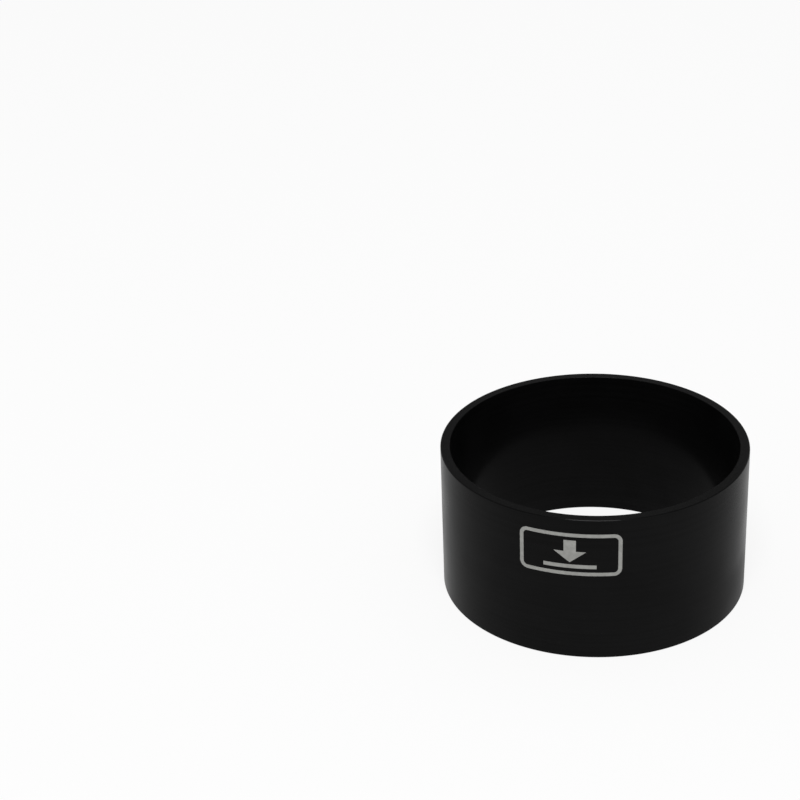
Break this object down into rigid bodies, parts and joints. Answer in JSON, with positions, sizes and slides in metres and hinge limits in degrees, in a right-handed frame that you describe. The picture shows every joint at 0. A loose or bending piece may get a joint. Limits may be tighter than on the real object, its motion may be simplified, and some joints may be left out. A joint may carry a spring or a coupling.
{
  "type": "piston ring compressor sleeve",
  "caption": "Round black sleeve with a tapered bore that squeezes piston rings to bore size as a piston is pushed through it into an engine cylinder.",
  "frame": {"origin": "centre of the flat exit face, which stands on the engine block's deck", "axes": "+Z along the bore from the exit to the wide mouth, -Y towards the etched mark"},
  "size_m": [0.1142, 0.1142, 0.0571],
  "materials": {
    "black_anodised": "satin black hard anodising over a fine turned surface",
    "etched_mark": "matt light grey laser etching through the anodising"
  },
  "bodies": {
    "root": {"compressor_sleeve": "black_anodised"}
  },
  "joints": []
}
